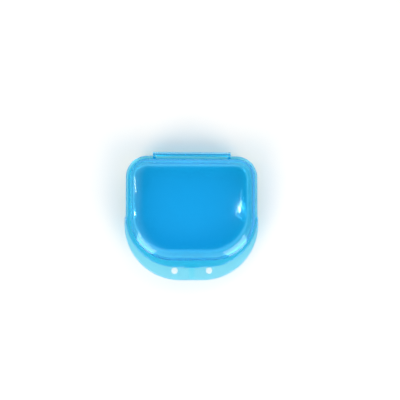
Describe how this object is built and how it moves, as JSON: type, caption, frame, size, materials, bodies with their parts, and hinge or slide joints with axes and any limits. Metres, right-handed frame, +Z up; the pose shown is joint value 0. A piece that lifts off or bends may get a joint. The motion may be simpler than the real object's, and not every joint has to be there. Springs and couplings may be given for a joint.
{
  "type": "denture case",
  "caption": "Hinged case of clear blue plastic with a D-shaped plan, a ledge with two vent holes round its front, a thumb lip and latch tab on the lid, and a pin hinge along the back.",
  "frame": {"origin": "middle of the whole case seen from above, on the plane that it stands on", "axes": "+X across the case along the hinge, +Y from the thumb lip at the front to the hinge at the back, +Z up out of the lid"},
  "size_m": [0.0814, 0.0778, 0.0268],
  "materials": {
    "clear_blue_base": "clear tinted, polished moulding",
    "clear_blue_lid": "clear tinted, polished moulding",
    "clear_blue_pin": "clear tinted, smooth rod"
  },
  "bodies": {
    "base": {"base_shell": "clear_blue_base", "hinge_pin": "clear_blue_pin"},
    "lid": {"lid_shell": "clear_blue_lid"}
  },
  "joints": [
    {"name": "lid_hinge", "type": "hinge", "parent": "base", "child": "lid", "pos_m": [0, 0.03762, 0.01345], "axis": [-1, 0, 0], "range_deg": [0, 180]}
  ]
}
